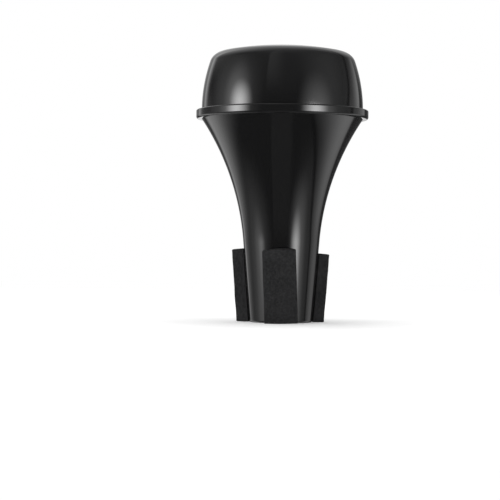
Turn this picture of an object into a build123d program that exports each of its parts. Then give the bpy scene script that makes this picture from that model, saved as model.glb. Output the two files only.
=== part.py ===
"""Trumpet straight mute: a flared horn shell closed by a cap, with three foam pads at the narrow end.

The origin is the centre of the narrow rim. +Z runs along the axis to the crown, and -Y is the front.
Azimuths are degrees from the front, positive towards +X.
"""
from build123d import *
import os

# Driving dimensions in millimetres
wall = 2.4

# Horn: a straight taper that enters the bell, then a circular flare up to the flange
rim_radius = 14.7
rim_rounding = 1.0
bore_rounding = 0.3
taper_height = 37.4
taper_radius = 17.7
flare_radius = 37.4

# Flange: the ring where the two mouldings meet
flange_radius = 40.0
flange_bottom = 94.2
flange_thickness = 4.1
flange_top_rounding = 0.6
flange_bottom_rounding = 1.0
flange_top = flange_bottom + flange_thickness

# Spigot: the upstanding ring that centres the cap, thickened down to the inside of the flare
spigot_inner_radius = 33.2
spigot_outer_radius = 35.0
spigot_height = 4.5
spigot_root_drop = 2.2
spigot_rounding = 0.4

# Cap: a barrel-curved side and a shallow crown, with a wide rounding between them
cap_base_radius = 37.45
cap_base_rounding = 0.3
shoulder_radius = 32.45
shoulder_height = 124.3
shoulder_rounding = 6.3
crown_height = 127.9

# Cement: the bond line round the spigot
cement_thickness = 0.2
socket_radius = spigot_outer_radius + cement_thickness
socket_depth = spigot_height + 0.2

# Pads: straight foam strips stuck round the taper, a third of a turn apart or nearly. The right one was
# cut shorter and from thinner sheet. Each has an azimuth, a height and a thickness.
film_thickness = 0.2
film_margin = 1.0
pad_width = 15.2
pad_chamfer = 0.5
pads = {
    "front": (-2.0, 34.4, 6.0),
    "right": (114.0, 32.2, 5.0),
    "left": (-122.0, 34.4, 6.0),
}

taper_slope = (taper_radius - rim_radius) / taper_height


def taper_outside(height, gap):
    """Radius at a height on the cone that lies a gap outside the taper's surface."""
    return rim_radius + taper_slope * height + gap * (1 + taper_slope**2) ** 0.5


def taper_strip(azimuth, width, bottom, top, inner_gap, outer_gap):
    """Straight strip that lies along the taper between two gaps from its surface, its top square to it."""
    outer_top = top - taper_slope * (outer_gap - inner_gap)
    with BuildPart() as strip:
        with BuildSketch(Plane.XZ):
            Polygon(
                (taper_outside(bottom, inner_gap), bottom),
                (taper_outside(bottom, outer_gap), bottom),
                (taper_outside(outer_top, outer_gap), outer_top),
                (taper_outside(top, inner_gap), top),
                align=None,
            )
        revolve(axis=Axis.Z)
        with BuildSketch(Plane.XY.rotated((0, 0, azimuth))):
            Rectangle(width, flange_radius, align=(Align.CENTER, Align.MAX))
        extrude(amount=flange_bottom, mode=Mode.INTERSECT)
    return strip.part


def save(piece, name):
    piece.part.label = name
    export_step(piece.part, f"parts/{name}.step")


os.makedirs("parts", exist_ok=True)

# Horn shell
with BuildPart() as horn_shell:
    with BuildSketch(Plane.XZ):
        with BuildLine():
            rim = Line((0, 0), (rim_radius, 0))
            taper = Line(rim @ 1, (taper_radius, taper_height))
            flare = TangentArc(taper @ 1, (flare_radius, flange_bottom), tangent=taper % 1)
            edge = Line(flare @ 1, (flare_radius, flange_top))
            mouth = Line(edge @ 1, (0, flange_top))
            Line(mouth @ 1, rim @ 0)
        make_face()
    revolve(axis=Axis.Z)
    ends = horn_shell.faces().filter_by(Plane.XY)
    offset(amount=-wall, openings=ends)

    with BuildSketch(Plane.XZ) as flange_section:
        Polygon(
            (spigot_inner_radius, flange_bottom - spigot_root_drop),
            (flare_radius - wall / 2, flange_bottom),
            (flange_radius, flange_bottom),
            (flange_radius, flange_top),
            (spigot_outer_radius, flange_top),
            (spigot_outer_radius, flange_top + spigot_height),
            (spigot_inner_radius, flange_top + spigot_height),
            align=None,
        )
        rim_corners = flange_section.vertices().group_by(Axis.X)[-1].sort_by(Axis.Y)
        fillet(rim_corners[0], flange_bottom_rounding)
        fillet(rim_corners[1], flange_top_rounding)
        fillet(flange_section.vertices().group_by(Axis.Y)[-1], spigot_rounding)
    revolve(axis=Axis.Z)

    bore_edge, rim_edge = horn_shell.edges().group_by(Axis.Z)[0].sort_by(SortBy.RADIUS)
    fillet(rim_edge, rim_rounding)
    fillet(bore_edge, bore_rounding)
save(horn_shell, "horn_shell")

# Domed cap
with BuildPart() as domed_cap:
    with BuildSketch(Plane.XZ) as cap_section:
        with BuildLine():
            base = Line((0, flange_top), (cap_base_radius, flange_top))
            side = TangentArc(base @ 1, (shoulder_radius, shoulder_height), tangent=(0, 1))
            crown = TangentArc((0, crown_height), side @ 1, tangent=(1, 0))
            Line(crown @ 0, base @ 0)
        make_face()
        fillet(cap_section.vertices().sort_by_distance(side @ 1)[0], shoulder_rounding)
    revolve(axis=Axis.Z)
    offset(amount=-wall, openings=domed_cap.faces().sort_by(Axis.Z)[0])
    with BuildSketch(Plane.XY.offset(flange_top)):
        Circle(socket_radius)
    extrude(amount=socket_depth, mode=Mode.SUBTRACT)
    fillet(domed_cap.edges().group_by(Axis.Z)[0].sort_by(SortBy.RADIUS)[-1], cap_base_rounding)
save(domed_cap, "domed_cap")

# Cement ring between spigot and cap
with BuildPart() as cement_ring:
    with BuildSketch(Plane.XY.offset(flange_top)):
        Circle(socket_radius)
        Circle(spigot_outer_radius, mode=Mode.SUBTRACT)
    extrude(amount=spigot_height - spigot_rounding)
save(cement_ring, "cap_cement_ring")

# Foam pads, each on its own adhesive film
for place, (azimuth, height, thickness) in pads.items():
    with BuildPart() as pad:
        add(taper_strip(azimuth, pad_width, 0, height, film_thickness, film_thickness + thickness))
        outer_face = pad.faces().filter_by(GeomType.CONE).sort_by(SortBy.AREA)[-1]
        chamfer(outer_face.edges(), pad_chamfer)
    save(pad, f"{place}_pad")

    film_width, film_top = pad_width - 2 * film_margin, height - film_margin
    with BuildPart() as film:
        add(taper_strip(azimuth, film_width, film_margin, film_top, 0, film_thickness))
    save(film, f"{place}_pad_film")
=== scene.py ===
"""Looks of the trumpet straight mute: gloss black mouldings, foam pads, studio floor, light and camera."""
import math

import bpy
from mathutils import Matrix, Vector, noise


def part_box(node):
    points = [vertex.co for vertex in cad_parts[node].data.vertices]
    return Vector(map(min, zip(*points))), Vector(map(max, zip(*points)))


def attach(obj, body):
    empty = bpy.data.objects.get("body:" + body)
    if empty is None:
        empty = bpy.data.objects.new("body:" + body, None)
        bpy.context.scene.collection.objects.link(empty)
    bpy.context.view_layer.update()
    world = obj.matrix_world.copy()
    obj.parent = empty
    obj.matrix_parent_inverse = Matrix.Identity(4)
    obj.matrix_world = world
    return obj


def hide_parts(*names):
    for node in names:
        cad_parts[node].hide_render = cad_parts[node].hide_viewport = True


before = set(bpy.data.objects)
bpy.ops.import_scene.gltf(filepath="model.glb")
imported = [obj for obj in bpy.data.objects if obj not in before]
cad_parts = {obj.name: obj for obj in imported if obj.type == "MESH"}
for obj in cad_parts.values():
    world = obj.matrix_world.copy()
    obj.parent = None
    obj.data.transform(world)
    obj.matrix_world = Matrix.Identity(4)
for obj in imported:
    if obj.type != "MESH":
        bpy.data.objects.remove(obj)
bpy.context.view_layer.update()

BODY = "root"  # the one body that every piece rides on
MM = 0.001


# ---------------------------------------------------------------- node helpers
class Nodes:
    """Short calls that add nodes to one node tree and link them."""

    def __init__(self, tree):
        self.tree = tree

    def add(self, kind, inputs=None, **settings):
        """A new node of that kind, with its settings, and with values or links in its inputs."""
        node = self.tree.nodes.new("ShaderNode" + kind)
        for name, value in settings.items():
            setattr(node, name, value)
        for name, value in (inputs or {}).items():
            self.feed(node.inputs[name], value)
        return node

    def feed(self, socket, value):
        """Links the value if it is another node's output, or sets it."""
        if isinstance(value, bpy.types.NodeSocket):
            self.tree.links.new(value, socket)
        else:
            socket.default_value = value

    def math(self, operation, *values):
        """The result of one sum or function of up to three values."""
        return self.add("Math", dict(enumerate(values)), operation=operation).outputs[0]

    def ramp(self, value, low, high, start=0.0, end=1.0, curve="SMOOTHSTEP"):
        """Maps value from low..high to start..end, smoothly and clamped."""
        inputs = {"Value": value, "From Min": low, "From Max": high, "To Min": start, "To Max": end}
        return self.add("MapRange", inputs, interpolation_type=curve).outputs["Result"]

    def noise(self, where, scale, detail=3.0, roughness=0.5):
        """Fractal noise of about 0 to 1."""
        inputs = {"Vector": where, "Scale": scale, "Detail": detail, "Roughness": roughness}
        return self.add("TexNoise", inputs).outputs["Fac"]

    def bump(self, height, strength, depth):
        """The normal of a surface with that height pattern."""
        inputs = {"Strength": strength, "Distance": depth, "Height": height}
        return self.add("Bump", inputs).outputs["Normal"]

    def blend(self, factor, first, second):
        """Mixes two colours: the first where the factor is 0, the second where it is 1."""
        node = self.add("Mix", data_type="RGBA")
        self.feed(node.inputs["Factor"], factor)
        self.feed(node.inputs["A"], first)
        self.feed(node.inputs["B"], second)
        return node.outputs["Result"]


def new_material(name):
    """A material with a Principled shader, its node helper and the object's own coordinates."""
    material = bpy.data.materials.new(name)
    material.use_nodes = True
    nodes = Nodes(material.node_tree)
    shader = material.node_tree.nodes["Principled BSDF"]
    where = nodes.add("TexCoord").outputs["Object"]
    return material, nodes, shader, where


def fresh_nodes(owner):
    """Empties the node tree of a material or a world, and gives its node helper."""
    owner.use_nodes = True
    owner.node_tree.nodes.clear()
    return Nodes(owner.node_tree)


def grey(level, tint=1.0):
    """A grey of that linear level, slightly warm where the tint of its blue is under 1."""
    return (level, level, level * tint, 1.0)


# ---------------------------------------------------------------- materials
# Texture scales are in cells per metre, and bump depths are in metres.
ABS_IOR = 1.52
ABS_BLACK, ABS_DUST = grey(0.005, 1.05), grey(0.03, 0.96)
ABS_ROUGHNESS, HAZE_ROUGHNESS, STREAK_ROUGHNESS = 0.06, 0.05, 0.03
HAZE_SCALE, FLOW_SCALE, RIPPLE_SCALE = 55.0, (160, 160, 18), 38.0
SPECK_SCALE, SPECK_PATCHES_SCALE = 420.0, 90.0
RIPPLE_DEPTH = 0.00006

FOAM_ROUGHNESS, FOAM_SPECULAR = 0.93, 0.2
# The pit grey is painted shade for the open cells; the dark and light greys are the foam's own uneven tone.
FOAM_DARK, FOAM_LIGHT, FOAM_PIT_SHADE = grey(0.011, 1.06), grey(0.030, 1.03), grey(0.005)
CELL_SCALE, MOTTLE_SCALE, PATCH_SCALE = 2600.0, 900.0, 120.0
CELL_DEPTH = 0.00012

GLUE_SCALE, GLUE_DEPTH = 300.0, 0.00005
GLUE_CLOUDING = 0.2


def gloss_abs():
    """Moulded black ABS: a clear gloss, with a faint flow ripple, handling haze and specks of dust."""
    material, nodes, shader, where = new_material("gloss_black_abs")
    shader.inputs["IOR"].default_value = ABS_IOR

    haze = nodes.ramp(nodes.noise(where, HAZE_SCALE, 4.0, 0.6), 0.45, 0.75, 0.0, HAZE_ROUGHNESS)
    along_flow = nodes.add("Mapping", {"Vector": where, "Scale": FLOW_SCALE}).outputs[0]
    streaks = nodes.ramp(nodes.noise(along_flow, 1.0, 2.0), 0.5, 0.8, 0.0, STREAK_ROUGHNESS)
    uneven = nodes.math("ADD", haze, streaks)
    nodes.feed(shader.inputs["Roughness"], nodes.math("ADD", uneven, ABS_ROUGHNESS))

    specks = nodes.add("TexVoronoi", {"Vector": where, "Scale": SPECK_SCALE}).outputs["Distance"]
    dusty = nodes.ramp(nodes.noise(where, SPECK_PATCHES_SCALE), 0.62, 0.72)
    dust = nodes.math("MULTIPLY", nodes.ramp(specks, 0.05, 0.11, 1.0, 0.0), dusty)
    nodes.feed(shader.inputs["Base Color"], nodes.blend(dust, ABS_BLACK, ABS_DUST))

    ripple = nodes.noise(where, RIPPLE_SCALE, 1.0)
    nodes.feed(shader.inputs["Normal"], nodes.bump(ripple, 0.25, RIPPLE_DEPTH))
    return material


def eva_foam():
    """Closed-cell foam, cut: fine cells of uneven size, matt, a little dusty, with painted shade in the pits
    of its open cells.
    """
    material, nodes, shader, where = new_material("eva_foam")
    shader.inputs["Roughness"].default_value = FOAM_ROUGHNESS
    shader.inputs["Specular IOR Level"].default_value = FOAM_SPECULAR

    cells = nodes.add("TexVoronoi", {"Vector": where, "Scale": CELL_SCALE, "Randomness": 1.0})
    walls = nodes.ramp(cells.outputs["Distance"], 0.1, 0.75)
    mottle = nodes.noise(where, MOTTLE_SCALE, 4.0, 0.65)
    fine_tone = nodes.ramp(mottle, 0.3, 0.72, 0.0, 0.7)
    broad_tone = nodes.ramp(nodes.noise(where, PATCH_SCALE), 0.3, 0.7, 0.0, 0.3)
    colour = nodes.blend(nodes.math("ADD", fine_tone, broad_tone), FOAM_DARK, FOAM_LIGHT)
    # Painted shade: the colour darkens towards the pit grey at the centre of each open cell.
    colour = nodes.blend(nodes.ramp(walls, 0.0, 0.5, 0.45, 0.0), colour, FOAM_PIT_SHADE)
    nodes.feed(shader.inputs["Base Color"], colour)

    height = nodes.math("ADD", nodes.math("MULTIPLY", walls, 0.6), mottle)
    nodes.feed(shader.inputs["Normal"], nodes.bump(height, 0.6, CELL_DEPTH))
    return material


def glue(name, light, dark, roughness):
    """A thin layer of cured adhesive, cloudy and slightly uneven."""
    material, nodes, shader, where = new_material(name)
    cloud = nodes.noise(where, GLUE_SCALE)
    nodes.feed(shader.inputs["Base Color"], nodes.blend(cloud, dark, light))
    uneven = nodes.ramp(cloud, 0.3, 0.7, roughness, roughness + GLUE_CLOUDING)
    nodes.feed(shader.inputs["Roughness"], uneven)
    nodes.feed(shader.inputs["Normal"], nodes.bump(cloud, 0.4, GLUE_DEPTH))
    return material


# ---------------------------------------------------------------- pieces
def stand_in(name, mesh, node, material):
    """Shows a mesh, smooth and finished, in the place of a CAD node."""
    for face in mesh.polygons:
        face.use_smooth = True
    mesh.materials.append(material)
    piece = bpy.data.objects.new(name, mesh)
    bpy.context.scene.collection.objects.link(piece)
    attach(piece, BODY)
    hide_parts(node)
    return piece


def dress(node, material):
    """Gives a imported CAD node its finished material."""
    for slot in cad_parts[node].material_slots:
        slot.material = material


# ---------------------------------------------------------------- turned mouldings
# Profiles are in millimetres, as (radius, height) from the axis and the narrow rim. They run up the outside
# and down the inside, and hold extra points close to each corner so that the gloss breaks there cleanly.
WALL = 2.4
RIM_RADIUS = 14.7
RIM_ROUNDING, BORE_ROUNDING = 1.0, 0.3
TAPER_END = (17.7, 37.4)
FLARE_END = (37.4, 94.2)
FLANGE_TOP = 98.3
FLANGE_ROUNDINGS = (1.0, 0.6)
SPIGOT_INSIDE, SPIGOT_OUTSIDE, SPIGOT_TOP = 33.2, 35.0, 102.8
SPIGOT_ROOT = (SPIGOT_INSIDE, 92.0)
CAP_BASE = (37.45, FLANGE_TOP)
CAP_BASE_ROUNDING = 0.3
SHOULDER = (32.45, 124.3)
SHOULDER_ROUNDING = 6.3
SOCKET_RADIUS, SOCKET_TOP = 35.2, 103.0
TAPER_SLOPE = (TAPER_END[0] - RIM_RADIUS) / TAPER_END[1]
HOLD = 0.05  # how close to a corner an extra point is held
TURNS = 288  # steps round the axis


def arc(centre, radius, start, end, steps, held=False):
    """Points of an arc in the profile plane, between two angles in radians, held ones moved off its ends."""
    if held:
        hold = math.copysign(HOLD / radius, end - start)
        start, end = start + hold, end - hold
    angles = [start + (end - start) * step / steps for step in range(steps + 1)]
    return [(centre[0] + radius * math.cos(a), centre[1] + radius * math.sin(a)) for a in angles]


def straight(start, end, steps=1):
    """Points between two corners, without the corners, with one held close to each of them."""
    start, end = Vector(start), Vector(end)
    hold = (end - start).normalized() * min(HOLD, (end - start).length / 4)
    first, last = start + hold, end - hold
    return [tuple(first.lerp(last, step / steps)) for step in range(steps + 1)]


def angle_from(centre, point):
    """Direction from a centre to a point in the profile plane, in radians."""
    return math.atan2(point[1] - centre[1], point[0] - centre[0])


def arc_on_tangent(start, tangent, end):
    """Centre and radius of the arc that leaves start along the tangent and reaches end."""
    start, end = Vector(start), Vector(end)
    across = Vector((tangent[1], -tangent[0])).normalized()
    chord = end - start
    radius = chord.length_squared / (2 * chord.dot(across))
    return start + across * radius, abs(radius)


def horn_profile():
    """Taper, flare, flange and spigot, then down the bore."""
    flare, reach = arc_on_tangent(TAPER_END, (TAPER_SLOPE, 1), FLARE_END)
    turn_start, turn_end = angle_from(flare, TAPER_END), angle_from(flare, FLARE_END)
    turn_start, turn_end = turn_start % (2 * math.pi), turn_end % (2 * math.pi)
    wide, low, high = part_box("horn_shell")[1].x / MM, FLARE_END[1], FLANGE_TOP
    under, over = FLANGE_ROUNDINGS
    right, up, left, down = 0.0, math.pi / 2, math.pi, -math.pi / 2

    rim = RIM_RADIUS + TAPER_SLOPE * RIM_ROUNDING - RIM_ROUNDING
    inside = WALL * math.sqrt(1 + TAPER_SLOPE**2)
    bore = RIM_RADIUS - inside + BORE_ROUNDING
    points = straight((bore, 0), (rim, 0))
    points += arc((rim, RIM_ROUNDING), RIM_ROUNDING, down, right, 10)
    points += straight(points[-1], TAPER_END, 12)
    points += arc(flare, reach, turn_start, turn_end, 60, held=True)
    points += [FLARE_END]
    points += straight(FLARE_END, (wide - under, low), 3)
    points += arc((wide - under, low + under), under, down, right, 16)
    points += straight((wide, low + under), (wide, high - over), 4)
    points += arc((wide - over, high - over), over, right, up, 12)
    points += straight((wide - over, high), (SPIGOT_OUTSIDE, high), 2)
    points += [(SPIGOT_OUTSIDE, high)]
    points += straight((SPIGOT_OUTSIDE, high), (SPIGOT_OUTSIDE, SPIGOT_TOP))
    points += straight((SPIGOT_OUTSIDE, SPIGOT_TOP), (SPIGOT_INSIDE, SPIGOT_TOP))
    points += straight((SPIGOT_INSIDE, SPIGOT_TOP), SPIGOT_ROOT)
    points += [SPIGOT_ROOT]
    inner = arc(flare, reach + WALL, turn_start, turn_end, 48)
    widest, highest = SPIGOT_ROOT[0] - HOLD, SPIGOT_ROOT[1] - HOLD
    inner = [point for point in inner if point[0] < widest and point[1] < highest]
    points += reversed(inner)
    points += straight(inner[0], (bore - BORE_ROUNDING, BORE_ROUNDING), 10)
    points += arc((bore, BORE_ROUNDING), BORE_ROUNDING, left, left + math.pi / 2, 6)
    return points


def cap_profile():
    """Barrel-curved side, rounded shoulder and shallow crown, then back down inside to the socket."""
    crown = (0.0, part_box("domed_cap")[1].z / MM)
    wall, wall_reach = arc_on_tangent(CAP_BASE, (0, 1), SHOULDER)
    rise = crown[1] - SHOULDER[1]
    dome_reach = (SHOULDER[0] ** 2 + rise**2) / (2 * rise)
    dome = Vector((0.0, crown[1] - dome_reach))

    # The shoulder's rounding touches the wall's arc and the dome's arc from inside.
    gap = math.dist(wall, dome)
    from_wall, from_dome = wall_reach - SHOULDER_ROUNDING, dome_reach - SHOULDER_ROUNDING
    along = (from_wall**2 - from_dome**2 + gap**2) / (2 * gap)
    aside = math.sqrt(from_wall**2 - along**2)
    way = (dome - wall).normalized()
    corner = wall + way * along + Vector((-way[1], way[0])) * aside
    wall_turn, dome_turn = angle_from(wall, corner), angle_from(dome, corner)

    foot = CAP_BASE_ROUNDING
    base, height = CAP_BASE
    points = straight((SOCKET_RADIUS, height), (base - foot, height))
    points += arc((base - foot, height + foot), foot, -math.pi / 2, 0, 8)
    points += arc(wall, wall_reach, foot / wall_reach, wall_turn, 30, held=True)
    points += arc(corner, SHOULDER_ROUNDING, wall_turn, dome_turn, 36)
    points += arc(dome, dome_reach, dome_turn, math.pi / 2, 30)[1:-1]
    points += [(0.0, crown[1]), (0.0, crown[1] - WALL)]
    points += arc(dome, dome_reach - WALL, math.pi / 2, dome_turn, 20)[1:]
    points += arc(corner, SHOULDER_ROUNDING - WALL, dome_turn, wall_turn, 16)[1:]
    inner = arc(wall, wall_reach - WALL, wall_turn, 0, 20)[1:]
    inner = [point for point in inner if point[1] > SOCKET_TOP + HOLD]
    ledge = (inner[-1][0], SOCKET_TOP)
    points += inner
    if ledge[0] < SOCKET_RADIUS - 2 * HOLD:
        points += straight(ledge, (SOCKET_RADIUS, SOCKET_TOP))
    points += straight((SOCKET_RADIUS, SOCKET_TOP), (SOCKET_RADIUS, height))
    return points


def turned(name, profile, node, material):
    """A body of revolution of a closed profile, in place of its CAD node."""
    points, rings, faces = [], [], []
    for radius, height in profile:
        steps = TURNS if radius > 0 else 1
        angles = [2 * math.pi * step / steps for step in range(steps)]
        rings.append([len(points) + step for step in range(steps)])
        points += [(radius * math.cos(a) * MM, radius * math.sin(a) * MM, height * MM) for a in angles]
    for lower, upper in zip(rings, rings[1:] + rings[:1]):
        if len(lower) == len(upper) == 1:
            continue
        for step in range(TURNS):
            after = (step + 1) % TURNS
            corners = [lower[step % len(lower)], lower[after % len(lower)]]
            corners += [upper[after % len(upper)], upper[step % len(upper)]]
            faces.append(list(dict.fromkeys(corners)))
    mesh = bpy.data.meshes.new(name)
    mesh.from_pydata(points, [], faces)
    stand_in(name, mesh, node, material)


# ---------------------------------------------------------------- foam pads
# Each pad is a strip of foam bent round the taper. Lengths are in metres and angles in degrees. The gap is
# how far its two faces are from the taper, the lean turns the strip a little in its place, the sag is how far
# its hand-cut top drops at the corners, and the seed tells its unevenness from the others'.
PAD_WIDTH = 0.0152
PAD_ROUNDING = 0.00045
EDGE_STEPS = 3
MESH_STEP = 0.00029
PADS = {
    "front": {"azimuth": -2.3, "gap": (0.0002, 0.0062), "lean": 2.0, "sag": 0.00075, "seed": 3.1},
    "right": {"azimuth": 114.0, "gap": (0.0002, 0.0054), "lean": -0.5, "sag": 0.0003, "seed": 17.7},
    "left": {"azimuth": -122.0, "gap": (0.0002, 0.0064), "lean": 0.6, "sag": 0.0004, "seed": 41.3},
}

# Unevenness of the cut foam, from broad swells to its open skin: waves per metre and depth in metres.
FOAM_RELIEF = [(160, 0.00013), (620, 0.00006), (1900, 0.000035)]


def lattice(half, rounding):
    """Grid positions along one side of a rounded box, closer together where it is rounded."""
    flat = half - rounding
    count = max(2, round(2 * flat / MESH_STEP))
    middle = [flat * (2 * step / count - 1) for step in range(count + 1)]
    turns = [math.pi / 4 * step / EDGE_STEPS for step in range(1, EDGE_STEPS + 1)]
    edge = [flat + rounding * math.tan(turn) for turn in turns]
    return [-place for place in reversed(edge)] + middle + edge


def rounded_box(halves, rounding):
    """Points and quads of the skin of a box with rounded edges, centred on the origin."""
    lines = [lattice(half, rounding) for half in halves]
    flats = [half - rounding for half in halves]
    index, points, quads = {}, [], []

    def point(key):
        """Index of the skin's point at that place in the grid, added the first time it is asked for."""
        if key not in index:
            place = Vector([line[step] for line, step in zip(lines, key)])
            core = Vector([max(-flat, min(flat, c)) for flat, c in zip(flats, place)])
            index[key] = len(points)
            points.append(core + (place - core).normalized() * rounding)
        return index[key]

    for axis in range(3):
        first, second = (axis + 1) % 3, (axis + 2) % 3
        for end in (0, len(lines[axis]) - 1):
            for i in range(len(lines[first]) - 1):
                for j in range(len(lines[second]) - 1):
                    corners = [(i, j), (i + 1, j), (i + 1, j + 1), (i, j + 1)]
                    if end == 0:
                        corners.reverse()
                    quad = []
                    for a, b in corners:
                        key = [0, 0, 0]
                        key[axis], key[first], key[second] = end, a, b
                        quad.append(point(tuple(key)))
                    quads.append(quad)
    return points, quads


def bend_strip(flat, pad, height):
    """Places a point of the flat strip (across, up, out) on the taper, at the pad's azimuth."""
    across, up, out = flat
    lean = math.radians(pad["lean"])
    across, up = across - lean * (up - height / 2), up + lean * across
    up -= pad["sag"] * (across / (PAD_WIDTH / 2)) ** 2 * max(0.0, min(1.0, up / height)) ** 3
    up = max(up, 0.0)
    radius = RIM_RADIUS * MM + TAPER_SLOPE * up + out
    return Vector((across, -math.sqrt(radius**2 - across**2), up - TAPER_SLOPE * out * up / height))


def foam_pad(place, pad, material):
    """A foam pad with soft cut edges, a slightly uneven face and a fine open skin."""
    node = f"{place}_pad"
    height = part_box(node)[1].z
    inner, outer = pad["gap"]
    halves = (PAD_WIDTH / 2, height / 2, (outer - inner) / 2)
    points, quads = rounded_box(halves, PAD_ROUNDING)

    mesh = bpy.data.meshes.new(f"{place}_foam_pad")
    mesh.from_pydata([tuple(point) for point in points], [], quads)
    mesh.update()
    seed = Vector((pad["seed"], 0, 0))
    turn = Matrix.Rotation(math.radians(pad["azimuth"]), 4, "Z")
    normals = [vertex.normal.copy() for vertex in mesh.vertices]
    for vertex, normal in zip(mesh.vertices, normals):
        spot = vertex.co.copy()
        relief = sum(noise.noise(spot * waves + seed) * depth for waves, depth in FOAM_RELIEF)
        outwards = 0.5 + spot.z / halves[2] / 2
        spot += normal * relief * outwards
        spot += Vector((0, height / 2, inner + halves[2]))
        vertex.co = turn @ bend_strip(spot, pad, height)
    piece = stand_in(mesh.name, mesh, node, material)


# ---------------------------------------------------------------- stage
FLOOR_RADIUS = 2.5
FLOOR_FADE = (0.25, 0.80)
FLOOR_PAPER, FLOOR_GRAIN = (0.80, 0.82), 30.0
FLOOR_GLOW = 0.22


def floor():
    """A pale round floor that turns into plain white away from the object, so no horizon shows."""
    bpy.ops.mesh.primitive_circle_add(vertices=128, radius=FLOOR_RADIUS, fill_type="NGON")
    disc = bpy.context.object
    disc.name = "studio_floor"
    material = bpy.data.materials.new("studio_floor")
    nodes = fresh_nodes(material)
    where = nodes.add("TexCoord").outputs["Object"]
    distance = nodes.add("VectorMath", {0: where}, operation="LENGTH").outputs["Value"]
    far = nodes.ramp(distance, *FLOOR_FADE)
    paper = nodes.ramp(nodes.noise(where, FLOOR_GRAIN), 0.3, 0.7, *FLOOR_PAPER)
    colour = nodes.add("CombineColor", {"Red": paper, "Green": paper, "Blue": paper}).outputs[0]
    matt = nodes.add("BsdfDiffuse", {"Color": colour}).outputs[0]
    glow = nodes.add("Emission", {"Strength": FLOOR_GLOW}).outputs[0]
    near = nodes.add("AddShader", {0: matt, 1: glow}).outputs[0]
    plain = nodes.add("Emission", {"Strength": 1.0}).outputs[0]
    mixed = nodes.add("MixShader", {"Fac": far, 1: near, 2: plain}).outputs[0]
    nodes.add("OutputMaterial", {"Surface": mixed})
    disc.data.materials.append(material)
    disc.visible_glossy = False


# Soft lights of the studio. Each is at an azimuth, in degrees from the front and positive towards +X, and at
# an elevation, in degrees above the horizontal, and fades to nothing at its half width and half height. Some
# are cut off above an elevation, and some end at one of the rear edges below.
STUDIO_LIGHTS = {
    "left_softbox": {"at": (-63, 6), "half": (21, 18), "level": 8.3},
    "left_spill": {"at": (-75, 5), "half": (55, 45), "level": 0.85},
    "left_low_spill": {"at": (-70, 8), "half": (27, 30), "level": 1.6},
    "right_softbox": {"at": (43, 4), "half": (21, 27), "level": 10.0, "cut_above": 5.6},
    "right_spill": {"at": (68, 4), "half": (50, 60), "level": 0.45, "ends": "right"},
    "right_low_spill": {"at": (48, -3), "half": (33, 35), "level": 1.7},
    "back_wall_left": {"at": (-140, 53), "half": (42, 45), "level": 0.9},
    "back_wall_right": {"at": (150, 47), "half": (27, 45), "level": 0.65},
    "back_wall": {"at": (-175, 25), "half": (40, 40), "level": 0.75},
    "backdrop_foot": {"at": (180, -5), "half": (12, 6), "level": 1.0},
    "low_sweep_left": {"at": (-136, -38), "half": (38, 56), "level": 1.5, "ends": "left"},
    "low_sweep_right": {"at": (118, -70), "half": (38, 105), "level": 1.9, "ends": "right"},
    "side_strip_left": {"at": (-147, 17), "half": (15, 47), "level": 0.9, "ends": "left"},
    "side_strip_right": {"at": (139, 9), "half": (23, 16), "level": 0.68, "ends": "right"},
}
CUT_SOFTNESS = 1.0

# Rear edges: azimuth at the horizon, its drift per degree of elevation, and softness to either side.
REAR_EDGES = {"right": (140, 0.25, 3), "left": (-150.5, 0, 6)}

# A dark seam on the right: azimuth at the horizon and its drift, the half widths between which it fades, and
# the share of the light that it leaves.
SEAM_AT = (101, 0.75)
SEAM_HALF_WIDTHS = (0.5, 6)
SEAM_SHADE = 0.28

# Large dim panels in front of the object, with soft edges: azimuth and elevation over which each edge fades.
STUDIO_PANELS = {
    "upper": {"left": (-26, -24), "right": (-22, 8), "bottom": (10, 38), "top": (52, 85), "level": 0.22},
    "middle": {"left": (-26, -24), "right": (15, 27), "bottom": (-18, -8), "top": (20, 40), "level": 0.04},
    "lower": {"left": (-26, -24), "right": (15, 27), "bottom": (-80, -60), "top": (-18, -8), "level": 0.08},
}

# The room is darkest up to an elevation, brighter towards the zenith, and shaded again underfoot.
ROOM_DARK_BELOW = 12
ROOM_LEVELS = (0.07, 0.45)
UNDERFOOT = (-88, -62)
UNDERFOOT_SHADE = 0.25


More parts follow.
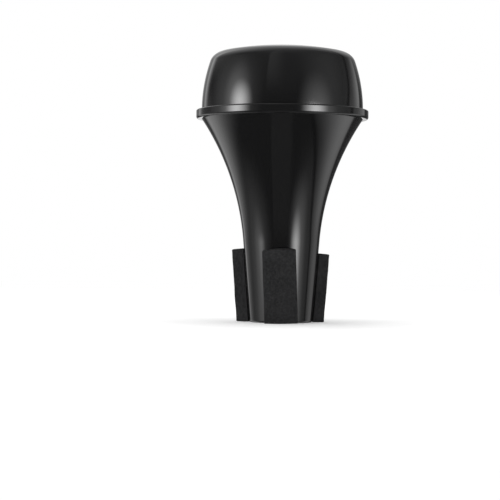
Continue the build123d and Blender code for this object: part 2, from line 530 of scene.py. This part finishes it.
def studio():
    """Plain white to the eye; what the gloss and the shade see is a dim room with soft lights."""
    world = bpy.data.worlds.new("studio")
    bpy.context.scene.world = world
    nodes = fresh_nodes(world)
    direction = nodes.add("SeparateXYZ", {0: nodes.add("TexCoord").outputs["Generated"]})
    x, y, z = direction.outputs
    turn = nodes.math("ARCTAN2", x, nodes.math("MULTIPLY", y, -1.0))
    azimuth = nodes.math("MULTIPLY", turn, 180 / math.pi)
    tilt = nodes.math("ARCSINE", z)
    elevation = nodes.math("MULTIPLY", tilt, 180 / math.pi)
    narrowing = nodes.math("COSINE", tilt)

    def beyond(azimuth_at_horizon, drift):
        """Degrees of azimuth past a leaning edge."""
        leaning = nodes.math("MULTIPLY", elevation, drift)
        return nodes.math("SUBTRACT", nodes.math("SUBTRACT", azimuth, leaning), azimuth_at_horizon)

    ends = {}
    for side, (edge, drift, softness) in REAR_EDGES.items():
        inside = (1.0, 0.0) if edge > 0 else (0.0, 1.0)
        ends[side] = nodes.ramp(beyond(edge, drift), -softness, softness, *inside)

    level = nodes.ramp(elevation, ROOM_DARK_BELOW, 90.0, *ROOM_LEVELS, curve="LINEAR")
    for light in STUDIO_LIGHTS.values():
        (aim, height), (wide, high) = light["at"], light["half"]
        across = nodes.math("WRAP", nodes.math("SUBTRACT", azimuth, aim), 180.0, -180.0)
        across = nodes.math("MULTIPLY", nodes.math("MULTIPLY", across, narrowing), 1 / wide)
        up = nodes.math("MULTIPLY", nodes.math("SUBTRACT", elevation, height), 1 / high)
        offset = nodes.add("CombineXYZ", {"X": across, "Y": up}).outputs[0]
        reach = nodes.add("VectorMath", {0: offset}, operation="LENGTH").outputs["Value"]
        glow = nodes.ramp(reach, 0.0, 1.0, light["level"], 0.0)
        if "cut_above" in light:
            edge = light["cut_above"]
            shutter = nodes.ramp(elevation, edge - CUT_SOFTNESS, edge + CUT_SOFTNESS, 1.0, 0.0)
            glow = nodes.math("MULTIPLY", glow, shutter)
        if "ends" in light:
            glow = nodes.math("MULTIPLY", glow, ends[light["ends"]])
        level = nodes.math("ADD", level, glow)
    for panel in STUDIO_PANELS.values():
        fade = nodes.ramp(azimuth, *panel["left"])
        fade = nodes.math("MULTIPLY", fade, nodes.ramp(elevation, *panel["bottom"]))
        fade = nodes.math("MULTIPLY", fade, nodes.ramp(azimuth, *panel["right"], 1.0, 0.0))
        fade = nodes.math("MULTIPLY", fade, nodes.ramp(elevation, *panel["top"], panel["level"], 0.0))
        level = nodes.math("ADD", level, fade)
    seam = nodes.ramp(nodes.math("ABSOLUTE", beyond(*SEAM_AT)), *SEAM_HALF_WIDTHS, SEAM_SHADE, 1.0)
    level = nodes.math("MULTIPLY", level, seam)
    level = nodes.math("MULTIPLY", level, nodes.ramp(elevation, *UNDERFOOT, UNDERFOOT_SHADE, 1.0))
    room = nodes.add("Background", {"Color": grey(1.0), "Strength": level}).outputs[0]
    white = nodes.add("Background", {"Color": grey(1.0)}).outputs[0]
    seen = nodes.add("LightPath").outputs["Is Camera Ray"]
    mixed = nodes.add("MixShader", {"Fac": seen, 1: room, 2: white}).outputs[0]
    nodes.add("OutputWorld", {"Surface": mixed})


OVERHEAD_SIZE = 1.2
OVERHEAD_HEIGHT = 1.1
OVERHEAD_WATTS = 9.0


def overhead_light():
    """A large soft light above the floor, for shade only: it adds no highlight to the gloss."""
    data = bpy.data.lights.new("overhead", "AREA")
    data.shape = "DISK"
    data.size = OVERHEAD_SIZE
    data.energy = OVERHEAD_WATTS
    light = bpy.data.objects.new("overhead", data)
    light.location = (0, 0, OVERHEAD_HEIGHT)
    light.visible_glossy = False
    light.visible_camera = False
    bpy.context.scene.collection.objects.link(light)


CAMERA_DISTANCE = 0.764
CAMERA_HEIGHT = 0.0334
CAMERA_LEFT = 0.01454
CAMERA_ROLL = math.radians(0.44)
LENS, SENSOR_WIDTH = 118.25, 36.0


def camera():
    """A long lens low in front of the object, a little left of its axis, with a slight roll."""
    data = bpy.data.cameras.new("camera")
    data.lens = LENS
    data.sensor_width = SENSOR_WIDTH
    data.clip_start = 0.01
    eye = bpy.data.objects.new("camera", data)
    eye.location = (-CAMERA_LEFT, -CAMERA_DISTANCE, CAMERA_HEIGHT)
    eye.rotation_euler = (math.pi / 2, -CAMERA_ROLL, 0)
    bpy.context.scene.collection.objects.link(eye)
    bpy.context.scene.camera = eye


# ---------------------------------------------------------------- assembly
black = gloss_abs()
foam = eva_foam()
turned("gloss_horn", horn_profile(), "horn_shell", black)
turned("gloss_cap", cap_profile(), "domed_cap", black)
dress("cap_cement_ring", glue("solvent_cement", grey(0.05), grey(0.025), 0.35))
film = glue("adhesive_film", grey(0.030, 0.9), grey(0.015, 0.9), 0.45)
for place, pad in PADS.items():
    dress(f"{place}_pad_film", film)
    foam_pad(place, pad, foam)

bpy.context.scene.view_settings.view_transform = "Standard"
floor()
studio()
overhead_light()
camera()
